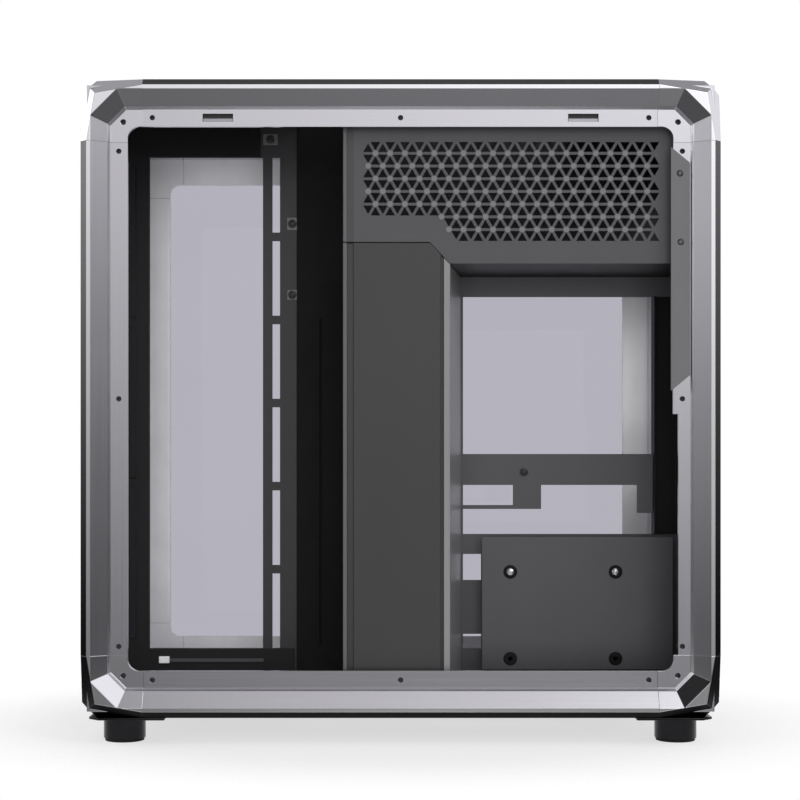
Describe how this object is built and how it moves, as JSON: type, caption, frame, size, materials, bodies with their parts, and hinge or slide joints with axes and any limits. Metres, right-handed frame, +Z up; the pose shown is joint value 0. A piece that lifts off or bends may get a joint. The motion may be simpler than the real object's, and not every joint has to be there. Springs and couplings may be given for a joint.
{
  "type": "mid tower computer case",
  "caption": "Mid tower computer case with a bevelled aluminium frame, cast corner brackets, glass panels, a lattice power supply cover and a tall cable cover, right side open.",
  "frame": {"origin": "on the floor under the middle of the case", "axes": "+X to the rear, +Y to the glass left side, +Z up; the open right side faces -Y"},
  "size_m": [0.482, 0.29, 0.502],
  "materials": {
    "rail_aluminium": "satin anodised",
    "corner_aluminium": "satin cast",
    "tinted_glass": "clear, lightly tinted",
    "black_steel": "fine black powder coat",
    "grey_steel": "fine dark grey powder coat",
    "post_steel": "satin grey paint",
    "cover_plastic": "fine moulded texture",
    "black_plastic": "satin black",
    "black_rubber": "matt",
    "bright_steel": "bright zinc",
    "standoff_brass": "turned",
    "port_steel": "drawn",
    "button_metal": "satin anodised",
    "board_laminate": "solder resist"
  },
  "bodies": {
    "case": {"audio_jack": "black_plastic", "bottom_front_rail": "rail_aluminium", "bottom_left_rail": "rail_aluminium", "bottom_panel": "black_steel", "bottom_rear_rail": "rail_aluminium", "bottom_right_rail": "rail_aluminium", "cable_channel": "black_plastic", "cable_cover": "cover_plastic", "cable_grommet": "black_rubber", "corner_bottom_front_left": "corner_aluminium", "corner_bottom_front_right": "corner_aluminium", "corner_bottom_rear_left": "corner_aluminium", "corner_bottom_rear_right": "corner_aluminium", "corner_top_front_left": "corner_aluminium", "corner_top_front_right": "corner_aluminium", "corner_top_rear_left": "corner_aluminium", "corner_top_rear_right": "corner_aluminium", "drive_plate": "grey_steel", "drive_rings": "black_rubber", "drive_screws": "bright_steel", "drive_spacers": "black_plastic", "foot_front_left": "black_plastic", "foot_front_right": "black_plastic", "foot_pads": "black_rubber", "foot_rear_left": "black_plastic", "foot_rear_right": "black_plastic", "front_bracket": "grey_steel", "front_glass_panel": "tinted_glass", "front_left_post": "rail_aluminium", "front_right_post": "rail_aluminium", "left_glass_panel": "tinted_glass", "motherboard_tray": "grey_steel", "port_bar": "black_plastic", "port_circuit_board": "board_laminate", "power_switch": "black_plastic", "psu_cover": "grey_steel", "psu_shroud": "black_steel", "rear_left_post": "rail_aluminium", "rear_panel": "black_steel", "rear_post_plate": "post_steel", "rear_right_post": "rail_aluminium", "slot_covers": "black_steel", "standoffs": "standoff_brass", "top_front_rail": "rail_aluminium", "top_left_rail": "rail_aluminium", "top_panel": "black_steel", "top_rear_rail": "rail_aluminium", "top_right_rail": "rail_aluminium", "usb_ports": "port_steel", "window_trim": "black_plastic"},
    "button": {"power_button": "button_metal"}
  },
  "joints": [
    {"name": "power_button_press", "type": "slide", "parent": "case", "child": "button", "axis": [0, 0, -1], "range_m": [0, 0.0012], "stiffness_N_per_m": 500, "springref_m": -0.001}
  ]
}
